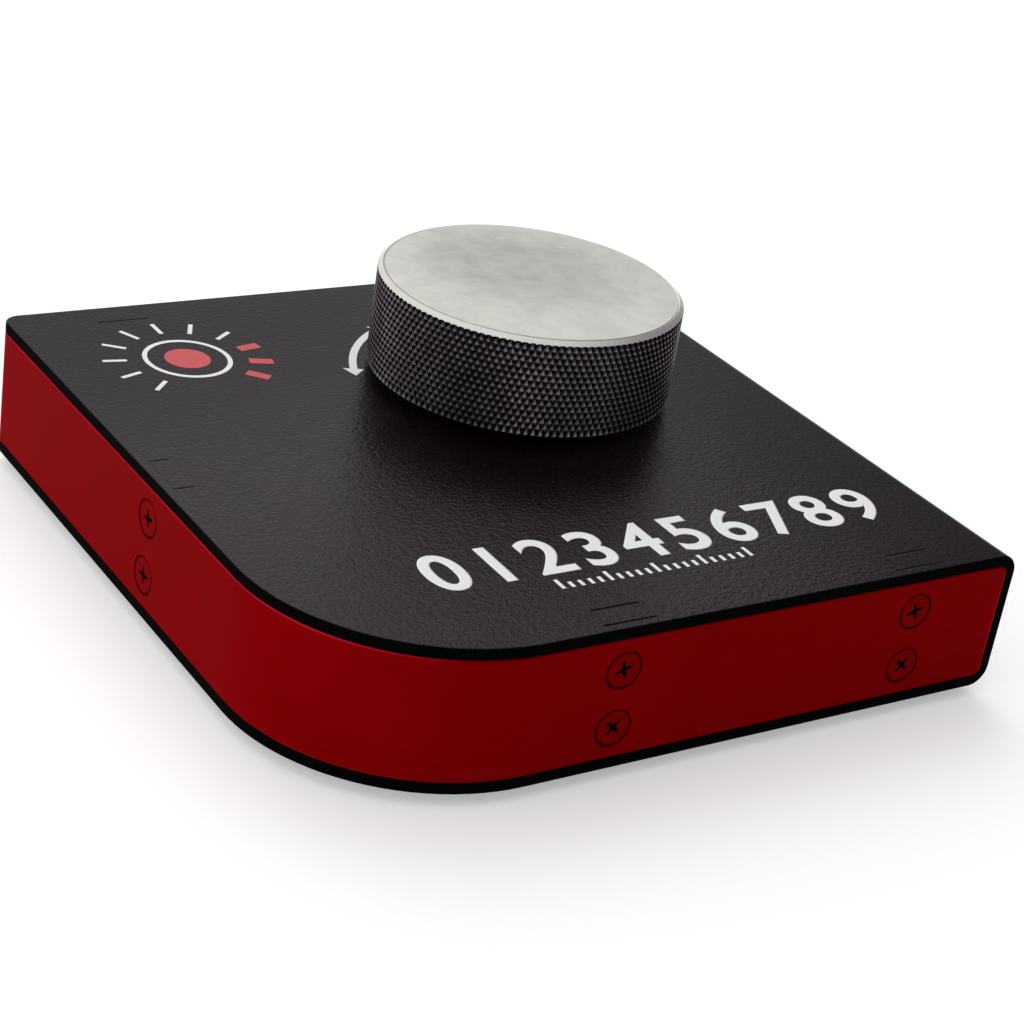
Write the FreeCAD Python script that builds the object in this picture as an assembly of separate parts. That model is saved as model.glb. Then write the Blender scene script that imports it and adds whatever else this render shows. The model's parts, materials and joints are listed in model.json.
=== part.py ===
import FreeCAD, Part
import math
import os

# Desk controller with one large knob on a thin square case, in millimetres.
# The origin is under the middle of the case, on the table. +X is to the right,
# +Y to the back and +Z up. The folded right wall is at +X, the big rounded
# corner is at front left, and the front has four of the side screws.

V = FreeCAD.Vector

# Case wrap: one sheet folded twice at the right into top, right wall and bottom
case_width = 120.0
case_depth = 120.0
case_height = 23.6
sheet = 1.8
fold_radius = 3.3
front_corner_radius = 31.7
back_corner_radius = 3.0
sheet_edge_round = 0.25

# Side band: one strip bent round the front, the left side and the back
band_thickness = 1.6
band_plate_gap = 0.05
band_end_gap = 0.10
band_edge_round = 0.40
inner_corner_least = 0.30

# Posts: bars between the plates that carry the band's screws, their tabs let into the plates
post_width = 10.8
post_depth = 4.8
post_band_gap = 0.05
tab_width = 9.2
tab_depth = 4.2
tab_clearance = 0.03
front_post_past_corner = 14.1
right_post_inset = 19.5
left_post_y = 0.0
back_post_inset = 19.4
screw_half_spread = 4.8

# Side screws: countersunk, cross recessed
sink_radius = 3.05
sink_hole_radius = 1.60
screw_head_radius = 2.75
screw_head_rim = 0.20
screw_seat_gap = 0.02
screw_shank_radius = 1.45
screw_length = 6.0
thread_clearance = 0.05
recess_span = 2.9
recess_floor_span = 1.6
recess_width = 0.62
recess_depth = 1.10
recess_core_radius = 0.62
recess_core_floor_radius = 0.37
# Turn of each recess about its screw: upper then lower, in the order of the posts
recess_turns = [17.0, 47.0, 15.0, 50.0, 10.0, 4.0, 33.0, 71.0, 62.0, 24.0]

# Feet
foot_radius = 5.5
foot_height = 2.0
foot_edge = 0.4
foot_inset = 12.0
front_left_foot_inset = 17.0

# Knob: turned from bar, knurled band, bare chamfer and top, hollow below round a hub
knob_from_right = 45.2
knob_from_back = 43.0
knob_radius = 25.7
knob_plate_gap = 1.25
knurl_height = 16.1
knob_chamfer_height = 0.80
knob_chamfer_width = 0.90
knob_lower_chamfer = 0.50
knob_wall = 5.5
knob_top_thickness = 5.0
hub_radius = 9.0
hub_bore_clearance = 0.02
hub_bore_into_top = 1.0
shaft_end_gap = 0.5

# Grub screw in the hub, and the hole in the knurled band that reaches it
grub_radius = 1.9
grub_length = 5.0
grub_height = 6.6
grub_direction = 52.0
grub_socket_width = 2.0
grub_socket_depth = 2.2
grub_access_radius = 2.3

# Rotary encoder: shaft, threaded bushing, can, code wheel and board
shaft_radius = 3.0
shaft_running_gap = 0.03
shaft_collar_radius = 4.6
shaft_collar_height = 1.0
shaft_collar_gap = 0.15
shaft_flat_depth = 0.6
bushing_radius = 4.5
bushing_plate_clearance = 0.10
bushing_above_plate = 4.4
bushing_chamfer = 0.4
bushing_flange_radius = 6.6
bushing_flange_height = 1.2
thread_pitch = 0.75
thread_depth = 0.30
washer_radius = 7.6
washer_thickness = 0.6
washer_teeth = 16
washer_tooth_depth = 0.9
washer_notch_width = 0.8
nut_across_flats = 14.0
nut_thickness = 2.0
nut_chamfer = 0.5
can_radius = 14.0
can_wall = 3.0
can_top = 2.0
can_depth = 9.4
thrust_washer_radius = 5.6
thrust_washer_thickness = 0.5
thrust_gap = 0.08
clip_thickness = 0.6
clip_radius = 4.8
clip_groove_depth = 0.5
clip_mouth = 4.0
clip_groove_gap = 0.05
hub_to_clip_gap = 0.2
wheel_hub_radius = 5.0
wheel_hub_height = 1.6
wheel_boss_radius = 3.9
wheel_boss_height = 0.9
wheel_radius = 9.2
wheel_thickness = 0.4
wheel_slots = 36
wheel_slot_length = 1.5
wheel_slot_width = 0.6
wheel_rim = 0.8
shaft_below_hub = 0.5
encoder_board_thickness = 1.2
board_screw_radius = 0.9
board_screw_head_radius = 1.45
board_screw_head_height = 0.7
board_screw_length = 4.0
board_screw_count = 3
board_screw_slot_width = 0.4
board_screw_slot_depth = 0.35
board_screw_first_angle = 30.0
sensor_width = 5.0
sensor_inner_radius = 6.5
sensor_outer_radius = 10.4
sensor_height = 5.2
sensor_slot_half = 0.55
sensor_edge_gap = 0.4
sensor_angle = 150.0

# Plug connections at both ends of the inner cable
socket_length = 8.4
socket_depth = 5.6
socket_height = 3.4
socket_wall = 0.6
plug_gap = 0.05
plug_out = 2.6
cable_radius = 1.0
cable_into_plug = 1.5
cable_corner_share = 0.45
cable_reach_forward = 26.0

# Main board on four standoffs pressed into the bottom plate
board_width = 30.0
board_depth = 32.0
board_thickness = 1.6
board_centre_from_left = 42.5
board_back_gap = 0.8
board_hole_inset = 3.3
board_hole_radius = 1.6
standoff_radius = 2.75
standoff_height = 2.6
standoff_spigot_radius = 2.1
standoff_fit = 0.02
pan_screw_radius = 1.45
pan_screw_head_radius = 2.6
pan_screw_head_height = 1.6
pan_screw_length = 3.6
pan_slot_width = 0.7
pan_slot_depth = 0.7

# Parts soldered to the main board
chip_size = 7.0
chip_height = 1.1
chip_standing = 0.15
chip_leads_a_side = 8
lead_pitch = 0.8
lead_width = 0.35
lead_reach = 1.0
lead_shoulder = 0.4
lead_thickness = 0.15
chip_gap = 1.75
chip_behind_front = 16.0
crystal_length = 5.0
crystal_width = 3.2
crystal_height = 1.1
crystal_corner = 0.8
crystal_gap = 2.0
crystal_behind_front = 12.0
regulator_length = 6.5
regulator_width = 3.5
regulator_height = 1.7
regulator_gap = 1.0
regulator_behind_front = 18.0
block_corner = 0.2
capacitor_inset = 3.5
capacitor_behind_front = 14.0
capacitor_length = 3.5
capacitor_width = 2.8
capacitor_height = 1.9
capacitor_pitch = 4.4
capacitor_count = 3

# Cable socket in the back band
usb_width = 8.94
usb_height = 3.26
usb_length = 7.5
usb_shell = 0.30
usb_corner = 1.20
usb_from_face = 0.40
usb_opening_gap = 0.40
usb_tongue_width = 6.7
usb_tongue_height = 0.70
usb_tongue_length = 5.8
usb_back_wall = 0.6

# How far a shape that only cuts runs past what it cuts
overrun = 1.0

# How near two levels are to count as one
same_level = 1e-6

# Sizes that follow
z_under = foot_height
z_floor = z_under + sheet
z_over = z_under + case_height
z_ceiling = z_over - sheet
z_middle = (z_under + z_over) / 2
half_width = case_width / 2
half_depth = case_depth / 2
knob_x = half_width - knob_from_right
knob_y = half_depth - knob_from_back
knob_bottom = z_over + knob_plate_gap
knurl_top = knob_bottom + knurl_height
knob_top = knurl_top + knob_chamfer_height
recess_top = knob_top - knob_top_thickness
bore_end = recess_top + hub_bore_into_top
bushing_bore = shaft_radius + shaft_running_gap
bushing_top = z_over + bushing_above_plate
collar_bottom = bushing_top + shaft_collar_gap
collar_top = collar_bottom + shaft_collar_height
can_under_top = z_ceiling - can_top
can_bottom = z_ceiling - can_depth
flange_bottom = can_under_top - bushing_flange_height
thrust_bottom = flange_bottom - thrust_washer_thickness
clip_top = thrust_bottom - thrust_gap
clip_bottom = clip_top - clip_thickness
boss_top = clip_bottom - hub_to_clip_gap
hub_shoulder = boss_top - wheel_boss_height
hub_bottom = hub_shoulder - wheel_hub_height
shaft_bottom = hub_bottom - shaft_below_hub
encoder_board_bottom = can_bottom - encoder_board_thickness
board_x = -half_width + board_centre_from_left
board_back = half_depth - band_thickness - board_back_gap
board_front = board_back - board_depth
board_left = board_x - board_width / 2
capacitor_x = board_left + capacitor_inset
regulator_x = capacitor_x + capacitor_length / 2 + regulator_gap + regulator_length / 2
chip_x = regulator_x + regulator_length / 2 + chip_gap + lead_reach + chip_size / 2
crystal_x = chip_x - chip_size / 2 - lead_reach - crystal_gap - crystal_length / 2
board_under = z_floor + standoff_height
board_over = board_under + board_thickness
usb_mouth = half_depth - usb_from_face
usb_z = board_over + usb_height / 2


def box(x0, x1, y0, y1, z0, z1):
    """A block between two corners."""
    return Part.makeBox(x1 - x0, y1 - y0, z1 - z0, V(x0, y0, z0))


def rod(x, y, z0, z1, radius):
    """An upright cylinder."""
    return Part.makeCylinder(radius, z1 - z0, V(x, y, z0))


def ring(x, y, z0, z1, outer, inner):
    """An upright tube."""
    return rod(x, y, z0, z1, outer).cut(rod(x, y, z0, z1, inner))


def turned(x, y, profile):
    """A solid of revolution about the upright axis at x, y from (radius, z) corners."""
    corners = [V(radius, 0, z) for radius, z in profile]
    face = Part.Face(Part.makePolygon(corners + corners[:1]))
    solid = face.revolve(V(0, 0, 0), V(0, 0, 1), 360)
    solid.translate(V(x, y, 0))
    return solid


def across_corners(across_flats):
    """How wide a hexagon is over its corners."""
    return across_flats / math.cos(math.pi / 6)


def hexagon(x, y, z0, z1, across_flats):
    """An upright six-sided prism."""
    reach = across_corners(across_flats) / 2
    corners = []
    for k in range(6):
        angle = math.radians(60 * k)
        corners.append(V(x + reach * math.cos(angle), y + reach * math.sin(angle), z0))
    face = Part.Face(Part.makePolygon(corners + corners[:1]))
    return face.extrude(V(0, 0, z1 - z0))


def closed_face(edges):
    """A flat face inside a closed loop of edges."""
    return Part.Face(Part.Wire(edges))


def quarter(start, centre, end):
    """The quarter circle from start to end about centre."""
    radius = (start - centre).Length
    towards = (start - centre) + (end - centre)
    middle = centre + towards * (radius / towards.Length)
    return Part.Arc(start, middle, end).toShape()


def line(start, end):
    """A straight edge."""
    return Part.LineSegment(start, end).toShape()


def plan_prism(inset, right, z0, z1):
    """The case's plan, drawn in by inset, from z0 to z1, with its right side at x = right."""
    left = -half_width + inset
    front = -half_depth + inset
    back = half_depth - inset
    big = front_corner_radius - inset
    small = max(back_corner_radius - inset, inner_corner_least)
    edges = [
        line(V(right, front, z0), V(left + big, front, z0)),
        quarter(V(left + big, front, z0), V(left + big, front + big, z0), V(left, front + big, z0)),
        line(V(left, front + big, z0), V(left, back - small, z0)),
        quarter(V(left, back - small, z0), V(left + small, back - small, z0), V(left + small, back, z0)),
        line(V(left + small, back, z0), V(right, back, z0)),
        line(V(right, back, z0), V(right, front, z0)),
    ]
    return closed_face(edges).extrude(V(0, 0, z1 - z0))


def fold_prism(inset, left):
    """The side view of the fold, drawn in by inset, along the whole depth: round at its right."""
    right = half_width - inset
    low = z_under + inset
    high = z_over - inset
    bend = fold_radius - inset
    y = -half_depth
    edges = [
        line(V(left, y, low), V(right - bend, y, low)),
        quarter(V(right - bend, y, low), V(right - bend, y, low + bend), V(right, y, low + bend)),
        line(V(right, y, low + bend), V(right, y, high - bend)),
        quarter(V(right, y, high - bend), V(right - bend, y, high - bend), V(right - bend, y, high)),
        line(V(right - bend, y, high), V(left, y, high)),
        line(V(left, y, high), V(left, y, low)),
    ]
    return closed_face(edges).extrude(V(0, case_depth, 0))


# Places along the band: each post's side, and how far along that side its middle is
posts = {
    "post_front_left": ("front", -half_width + front_corner_radius + front_post_past_corner),
    "post_front_right": ("front", half_width - right_post_inset),
    "post_left": ("left", left_post_y),
    "post_back_left": ("back", -half_width + back_post_inset),
    "post_back_right": ("back", half_width - right_post_inset),
}
inwards = {"front": V(0, 1, 0), "left": V(1, 0, 0), "back": V(0, -1, 0)}


def on_side(shape, side, along):
    """Move a shape made at the front face's origin, +Y inwards, to its place on a side."""
    foot = {
        "front": V(along, -half_depth, 0),
        "left": V(-half_width, along, 0),
        "back": V(along, half_depth, 0),
    }[side]
    moved = shape.copy()
    turn = math.degrees(math.atan2(-inwards[side].x, inwards[side].y))
    moved.rotate(V(0, 0, 0), V(0, 0, 1), turn)
    moved.translate(foot)
    return moved


post_front = band_thickness + post_band_gap
screw_levels = [z_middle + screw_half_spread, z_middle - screw_half_spread]


def tab_bar(grow, z0, z1):
    """The bar whose ends are a post's tabs, or the slot for it when grown by the clearance."""
    half = tab_width / 2 + grow
    return box(-half, half, post_front - grow, post_front + tab_depth + grow, z0, z1)


def post():
    """One post: a bar between the plates, with a tab at each end and two threaded holes."""
    half = post_width / 2
    bar = box(-half, half, post_front, post_front + post_depth, z_floor, z_ceiling)
    bar = bar.fuse(tab_bar(0.0, z_under, z_over)).removeSplitter()
    for level in screw_levels:
        hole_radius = screw_shank_radius + thread_clearance
        hole = Part.makeCylinder(hole_radius, post_front + post_depth + overrun, V(0, 0, level), V(0, 1, 0))
        bar = bar.cut(hole)
    return bar


def countersink():
    """What a side screw's hole takes out of the band, its face at z = 0 and its axis up."""
    cone_depth = sink_radius - sink_hole_radius
    cone = Part.makeCone(sink_hole_radius, sink_radius, cone_depth, V(0, 0, -cone_depth))
    lip = Part.makeCylinder(sink_radius, band_edge_round)
    through_length = band_thickness + overrun
    through = Part.makeCylinder(sink_hole_radius, through_length, V(0, 0, -through_length))
    return cone.fuse(lip).fuse(through)


def side_screw(turn):
    """One countersunk screw, the band's face at z = 0, its recess turned about the axis."""
    cone_top = -(sink_radius - screw_head_radius) + screw_seat_gap
    head_top = cone_top + screw_head_rim
    cone_bottom = cone_top - (screw_head_radius - screw_shank_radius)
    tip = head_top - screw_length
    profile = [
        (0, head_top),
        (screw_head_radius, head_top),
        (screw_head_radius, cone_top),
        (screw_shank_radius, cone_bottom),
        (screw_shank_radius, tip + screw_shank_radius / 3),
        (screw_shank_radius * 2 / 3, tip),
        (0, tip),
    ]
    screw = turned(0, 0, profile)
    arm = recess_span / 2
    toe = recess_floor_span / 2
    wing = recess_width / 2
    recess_floor = head_top - recess_depth
    across = Part.makePolygon([
        V(-arm, -wing, head_top), V(arm, -wing, head_top),
        V(toe, -wing, recess_floor), V(-toe, -wing, recess_floor),
        V(-arm, -wing, head_top),
    ])
    blade = Part.Face(across).extrude(V(0, recess_width, 0))
    other = blade.copy()
    other.rotate(V(0, 0, 0), V(0, 0, 1), 90)
    core = Part.makeCone(recess_core_floor_radius, recess_core_radius, recess_depth, V(0, 0, recess_floor))
    screw = screw.cut(blade.fuse(other).fuse(core))
    screw.rotate(V(0, 0, 0), V(0, 0, 1), turn)
    return screw


def facing_out(shape, level):
    """Turn a shape whose axis is up to point out of the front face, at a height."""
    moved = shape.copy()
    moved.rotate(V(0, 0, 0), V(1, 0, 0), 90)
    moved.translate(V(0, 0, level))
    return moved


def board_holes():
    """The centres of the main board's four fixing holes."""
    reach = board_width / 2 - board_hole_inset
    places = {}
    for front_back, y in (("front", board_front + board_hole_inset), ("back", board_back - board_hole_inset)):
        for left_right, x in (("left", board_x - reach), ("right", board_x + reach)):
            places[front_back + "_" + left_right] = (x, y)
    return places


def case_wrap():
    """The folded sheet, cut to the plan, with its slots and holes and softened outer edges."""
    outer = fold_prism(0.0, -half_width - overrun)
    inner = fold_prism(sheet, -half_width - 2 * overrun)
    plan = plan_prism(0.0, half_width + overrun, z_under - overrun, z_over + overrun)
    wrap = outer.cut(inner).common(plan)
    edges = []
    for edge in wrap.Edges:
        box_of_edge = edge.BoundBox
        flat = box_of_edge.ZLength < same_level
        at_face = abs(box_of_edge.ZMin - z_over) < same_level or abs(box_of_edge.ZMin - z_under) < same_level
        inside = box_of_edge.XMin > half_width - fold_radius - same_level
        if flat and at_face and not inside:
            edges.append(edge)
    wrap = wrap.makeFillet(sheet_edge_round, edges)
    for side, along in posts.values():
        slot = tab_bar(tab_clearance, z_under - overrun, z_over + overrun)
        wrap = wrap.cut(on_side(slot, side, along))
    bushing_hole = bushing_radius + bushing_plate_clearance
    wrap = wrap.cut(rod(knob_x, knob_y, z_ceiling - overrun, z_over + overrun, bushing_hole))
    for x, y in board_holes().values():
        hole_radius = standoff_spigot_radius + standoff_fit
        wrap = wrap.cut(rod(x, y, z_under - overrun, z_floor + overrun, hole_radius))
    return wrap


def rounded_slot(width, height, corner, y0, y1, x, z):
    """A bar with rounded corners along Y, centred on x, z."""
    half = width / 2
    tall = height / 2
    west = x - half
    east = x + half
    low = z - tall
    high = z + tall
    edges = [
        line(V(west + corner, y0, low), V(east - corner, y0, low)),
        quarter(V(east - corner, y0, low), V(east - corner, y0, low + corner), V(east, y0, low + corner)),
        line(V(east, y0, low + corner), V(east, y0, high - corner)),
        quarter(V(east, y0, high - corner), V(east - corner, y0, high - corner), V(east - corner, y0, high)),
        line(V(east - corner, y0, high), V(west + corner, y0, high)),
        quarter(V(west + corner, y0, high), V(west + corner, y0, high - corner), V(west, y0, high - corner)),
        line(V(west, y0, high - corner), V(west, y0, low + corner)),
        quarter(V(west, y0, low + corner), V(west + corner, y0, low + corner), V(west + corner, y0, low)),
    ]
    return closed_face(edges).extrude(V(0, y1 - y0, 0))


def side_band():
    """The strip round front, left and back, flush with the plates, with its screw holes."""
    low = z_floor + band_plate_gap
    high = z_ceiling - band_plate_gap
    right = half_width - sheet - band_end_gap
    band = plan_prism(0.0, half_width + overrun, low, high)
    edges = []
    for edge in band.Edges:
        flat = edge.BoundBox.ZLength < same_level
        if flat and edge.BoundBox.Center.x < right - same_level:
            edges.append(edge)
    band = band.makeFillet(band_edge_round, edges)
    band = band.cut(plan_prism(band_thickness, half_width + 2 * overrun, low - overrun, high + overrun))
    band = band.common(fold_prism(sheet + band_end_gap, -half_width - overrun))
    for side, along in posts.values():
        for level in screw_levels:
            band = band.cut(on_side(facing_out(countersink(), level), side, along))
    opening = rounded_slot(usb_width + 2 * usb_opening_gap, usb_height + 2 * usb_opening_gap,
                           usb_corner + usb_opening_gap, half_depth - band_thickness - overrun,
                           half_depth + overrun, board_x, usb_z)
    return band.cut(opening)


def foot(x, y):
    """One stick-on foot, narrower at the table."""
    profile = [(0, 0), (foot_radius - foot_edge, 0), (foot_radius, foot_edge), (foot_radius, foot_height),
               (0, foot_height)]
    return turned(x, y, profile)


def around_knob(shape, angle):
    """A shape made about the knob's axis at the origin, turned and moved to the knob."""
    moved = shape.copy()
    moved.rotate(V(0, 0, 0), V(0, 0, 1), angle)
    moved.translate(V(knob_x, knob_y, 0))
    return moved


def knob():
    """The knob, with its hub, the bore for the shaft and the grub screw's holes."""
    lower = knob_lower_chamfer
    hollow = knob_radius - knob_wall
    bore = shaft_radius + hub_bore_clearance
    profile = [
        (bore, collar_top),
        (hub_radius, collar_top),
        (hub_radius, recess_top),
        (hollow, recess_top),
        (hollow, knob_bottom),
        (knob_radius - lower, knob_bottom),
        (knob_radius, knob_bottom + lower),
        (knob_radius, knurl_top),
        (knob_radius - knob_chamfer_width, knob_top),
        (0, knob_top),
        (0, bore_end),
        (bore, bore_end),
    ]
    body = turned(0, 0, profile)
    level = collar_top + grub_height / 2
    tapped = Part.makeCylinder(grub_radius + thread_clearance, hub_radius, V(0, 0, level), V(1, 0, 0))
    access = Part.makeCylinder(grub_access_radius, knob_wall + 2 * overrun, V(hollow - overrun, 0, level),
                               V(1, 0, 0))
    body = body.cut(tapped).cut(access)
    return around_knob(body, grub_direction)


def grub_screw():
    """The grub screw in the hub, its tip on the shaft's flat."""
    level = collar_top + grub_height / 2
    start = shaft_radius - shaft_flat_depth
    screw = Part.makeCylinder(grub_radius, grub_length, V(start, 0, level), V(1, 0, 0))
    socket = hexagon(0, 0, -grub_socket_depth, overrun, grub_socket_width)
    socket.rotate(V(0, 0, 0), V(0, 1, 0), 90)
    socket.translate(V(start + grub_length, 0, level))
    return around_knob(screw.cut(socket), grub_direction)


def encoder_shaft():
    """The shaft: a collar over the bushing, a flat for the grub screw, a groove for the clip."""
    groove = shaft_radius - clip_groove_depth
    top = bore_end - shaft_end_gap
    profile = [
        (0, shaft_bottom),
        (shaft_radius, shaft_bottom),
        (shaft_radius, clip_bottom - clip_groove_gap),
        (groove, clip_bottom - clip_groove_gap),
        (groove, clip_top + clip_groove_gap),
        (shaft_radius, clip_top + clip_groove_gap),
        (shaft_radius, collar_bottom),
        (shaft_collar_radius, collar_bottom),
        (shaft_collar_radius, collar_top),
        (shaft_radius, collar_top),
        (shaft_radius, top),
        (0, top),
    ]
    shaft = turned(0, 0, profile)
    flat = box(shaft_radius - shaft_flat_depth, shaft_radius + overrun, -shaft_radius, shaft_radius,
               collar_top + hub_bore_into_top, top + overrun)
    return around_knob(shaft.cut(flat), grub_direction)


def encoder_bushing():
    """The threaded bushing that the shaft turns in, its flange under the can's top."""
    root = bushing_radius - thread_depth
    profile = [
        (bushing_bore, flange_bottom),
        (bushing_flange_radius, flange_bottom),
        (bushing_flange_radius, can_under_top),
        (bushing_radius, can_under_top),
        (bushing_radius, z_over),
    ]
    turns = int((bushing_above_plate - bushing_chamfer) / thread_pitch)
    for k in range(turns):
        z = z_over + k * thread_pitch
        profile.append((root, z + thread_pitch / 2))
        profile.append((bushing_radius, z + thread_pitch))
    profile.append((root, bushing_top))
    profile.append((bushing_bore, bushing_top))
    return turned(knob_x, knob_y, profile)


def encoder_washer():
    """The toothed washer under the nut."""
    bore = bushing_radius + thread_clearance
    washer = ring(0, 0, z_over, z_over + washer_thickness, washer_radius, bore)
    for k in range(washer_teeth):
        notch = box(washer_radius - washer_tooth_depth, washer_radius + overrun, -washer_notch_width / 2,
                    washer_notch_width / 2, z_over - overrun, z_over + washer_thickness + overrun)
        notch.rotate(V(0, 0, 0), V(0, 0, 1), 360.0 * k / washer_teeth)
        washer = washer.cut(notch)
    return around_knob(washer, 0)


def encoder_nut():
    """The hexagon nut that clamps the encoder to the top plate."""
    low = z_over + washer_thickness
    high = low + nut_thickness
    corner = across_corners(nut_across_flats) / 2
    nut = hexagon(0, 0, low, high, nut_across_flats)
    outline = turned(0, 0, [(0, low), (corner, low), (corner, high - nut_chamfer / 2),
                            (corner - nut_chamfer, high), (0, high)])
    nut = nut.common(outline).cut(rod(0, 0, low - overrun, high + overrun, bushing_radius + thread_clearance))
    return around_knob(nut, 0)


def encoder_can():
    """The encoder's can, open below, hung from the top plate by the bushing."""
    can = rod(0, 0, can_bottom, z_ceiling, can_radius)
    can = can.cut(rod(0, 0, can_bottom - overrun, can_under_top, can_radius - can_wall))
    neck = bushing_radius + thread_clearance
    can = can.cut(rod(0, 0, can_under_top - overrun, z_ceiling + overrun, neck))
    for x, y in encoder_screw_places():
        hole_top = can_bottom + board_screw_length
        can = can.cut(rod(x, y, can_bottom - overrun, hole_top, board_screw_radius + thread_clearance))
    return around_knob(can, 0)


def encoder_screw_places():
    """Centres of the encoder board's screws about the knob's axis, in the can's wall."""
    radius = can_radius - can_wall / 2
    places = []
    for k in range(board_screw_count):
        angle = math.radians(board_screw_first_angle + 360.0 * k / board_screw_count)
        places.append((radius * math.cos(angle), radius * math.sin(angle)))
    return places


def encoder_board():
    """The round board that closes the can."""
    board = rod(0, 0, encoder_board_bottom, can_bottom, can_radius)
    for x, y in encoder_screw_places():
        board = board.cut(rod(x, y, encoder_board_bottom - overrun, can_bottom + overrun,
                              board_screw_radius + 2 * thread_clearance))
    return around_knob(board, 0)


def encoder_board_screws():
    """The small screws that hold the encoder board to the can."""
    screws = []
    for x, y in encoder_screw_places():
        head = rod(x, y, encoder_board_bottom - board_screw_head_height, encoder_board_bottom,
                   board_screw_head_radius)
        shank_top = encoder_board_bottom + board_screw_length
        shank = rod(x, y, encoder_board_bottom, shank_top, board_screw_radius)
        reach = board_screw_head_radius + overrun
        head_end = encoder_board_bottom - board_screw_head_height
        slot = box(x - reach, x + reach, y - board_screw_slot_width / 2, y + board_screw_slot_width / 2,
                   head_end - overrun, head_end + board_screw_slot_depth)
        screws.append(head.fuse(shank).cut(slot).removeSplitter())
    return around_knob(Part.makeCompound(screws), 0)


def thrust_washer():
    """The plain washer between the bushing's flange and the clip."""
    washer = ring(0, 0, thrust_bottom, flange_bottom, thrust_washer_radius, bushing_bore)
    return around_knob(washer, 0)


def shaft_clip():
    """The open clip in the shaft's groove."""
    groove = shaft_radius - clip_groove_depth
    clip = ring(0, 0, clip_bottom, clip_top, clip_radius, groove + clip_groove_gap)
    mouth = box(0, clip_radius + overrun, -clip_mouth / 2, clip_mouth / 2, clip_bottom - overrun,
                clip_top + overrun)
    return around_knob(clip.cut(mouth), grub_direction)


def code_wheel_hub():
    """The hub that carries the code wheel on the shaft."""
    bore = shaft_radius + hub_bore_clearance
    profile = [
        (bore, hub_bottom),
        (wheel_hub_radius, hub_bottom),
        (wheel_hub_radius, hub_shoulder),
        (wheel_boss_radius, hub_shoulder),
        (wheel_boss_radius, boss_top),
        (bore, boss_top),
    ]
    return turned(knob_x, knob_y, profile)


def code_wheel():
    """The slotted disc that the sensor reads."""
    bore = wheel_boss_radius + hub_bore_clearance
    wheel = ring(0, 0, hub_shoulder, hub_shoulder + wheel_thickness, wheel_radius, bore)
    outer = wheel_radius - wheel_rim
    inner = outer - wheel_slot_length
    slots = []
    for k in range(wheel_slots):
        slot = box(inner, outer, -wheel_slot_width / 2, wheel_slot_width / 2, hub_shoulder - overrun,
                   hub_shoulder + wheel_thickness + overrun)
        slot.rotate(V(0, 0, 0), V(0, 0, 1), 360.0 * k / wheel_slots)
        slots.append(slot)
    return around_knob(wheel.cut(Part.makeCompound(slots)), 0)


def encoder_sensor():
    """The fork on the encoder board that the code wheel's edge passes through."""
    half = sensor_width / 2
    fork = box(sensor_inner_radius, sensor_outer_radius, -half, half, can_bottom, can_bottom + sensor_height)
    wheel_middle = hub_shoulder + wheel_thickness / 2
    slot = box(sensor_inner_radius - overrun, wheel_radius + sensor_edge_gap, -half - overrun, half + overrun,
               wheel_middle - sensor_slot_half, wheel_middle + sensor_slot_half)
    return around_knob(fork.cut(slot), sensor_angle)


def cable_socket(base, up):
    """A shrouded socket whose mouth faces -Y, with its back at y = 0, above or below its board."""
    low, high = (base, base + socket_height) if up else (base - socket_height, base)
    half = socket_length / 2
    shroud = box(-half, half, -socket_depth, 0, low, high)
    cavity = box(-half + socket_wall, half - socket_wall, -socket_depth - overrun, -socket_wall,
                 low + socket_wall, high - socket_wall)
    return shroud.cut(cavity)


def cable_plug(base, up):
    """The plug in that socket, standing out of its mouth."""
    low, high = (base, base + socket_height) if up else (base - socket_height, base)
    half = socket_length / 2 - socket_wall - plug_gap
    middle = (low + high) / 2
    plug = box(-half, half, -socket_depth - plug_out, -socket_wall - plug_gap,
               low + socket_wall + plug_gap, high - socket_wall - plug_gap)
    hole = Part.makeCylinder(cable_radius + plug_gap, cable_into_plug + overrun,
                             V(0, -socket_depth - plug_out - overrun, middle), V(0, 1, 0))
    return plug.cut(hole)


encoder_socket_back = knob_y + socket_depth / 2
board_socket_back = board_front + socket_depth


def moved_to(shape, x, y):
    """A shape shifted in plan."""
    moved = shape.copy()
    moved.translate(V(x, y, 0))
    return moved


def inner_cable():
    """The cable between the two plugs: straight runs joined by tangent arcs."""
    encoder_level = encoder_board_bottom - socket_height / 2
    board_level = board_over + socket_height / 2
    encoder_end = encoder_socket_back - socket_depth - plug_out + cable_into_plug
    board_end = board_socket_back - socket_depth - plug_out + cable_into_plug
    front = encoder_end - cable_reach_forward
    route = [
        V(knob_x, encoder_end, encoder_level),
        V(knob_x, front, encoder_level),
        V(board_x, front, board_level),
        V(board_x, board_end, board_level),
    ]
    edges = []
    reached = route[0]
    for k in range(1, len(route) - 1):
        before = route[k - 1] - route[k]
        after = route[k + 1] - route[k]
        shorter = min(before.Length, after.Length)
        towards_before = before * (1 / before.Length)
        towards_after = after * (1 / after.Length)
        setback = cable_corner_share * shorter
        turn = math.pi - towards_before.getAngle(towards_after)
        radius = setback / math.tan(turn / 2)
        print("cable corner radius", round(radius, 2))
        enter = route[k] + towards_before * setback
        leave = route[k] + towards_after * setback
        bisector = towards_before + towards_after
        to_centre = radius / math.cos(turn / 2)
        middle = route[k] + bisector * ((to_centre - radius) / bisector.Length)
        edges.append(line(reached, enter))
        edges.append(Part.Arc(enter, middle, leave).toShape())
        reached = leave
    edges.append(line(reached, route[-1]))
    path = Part.Wire(edges)
    section = Part.Wire(Part.makeCircle(cable_radius, route[0], route[1] - route[0]))
    tube = path.makePipeShell([section], True, True)
    expected = path.Length * math.pi * cable_radius ** 2
    print("cable volume over section times length", round(tube.Volume / expected, 4))
    return tube


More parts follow.
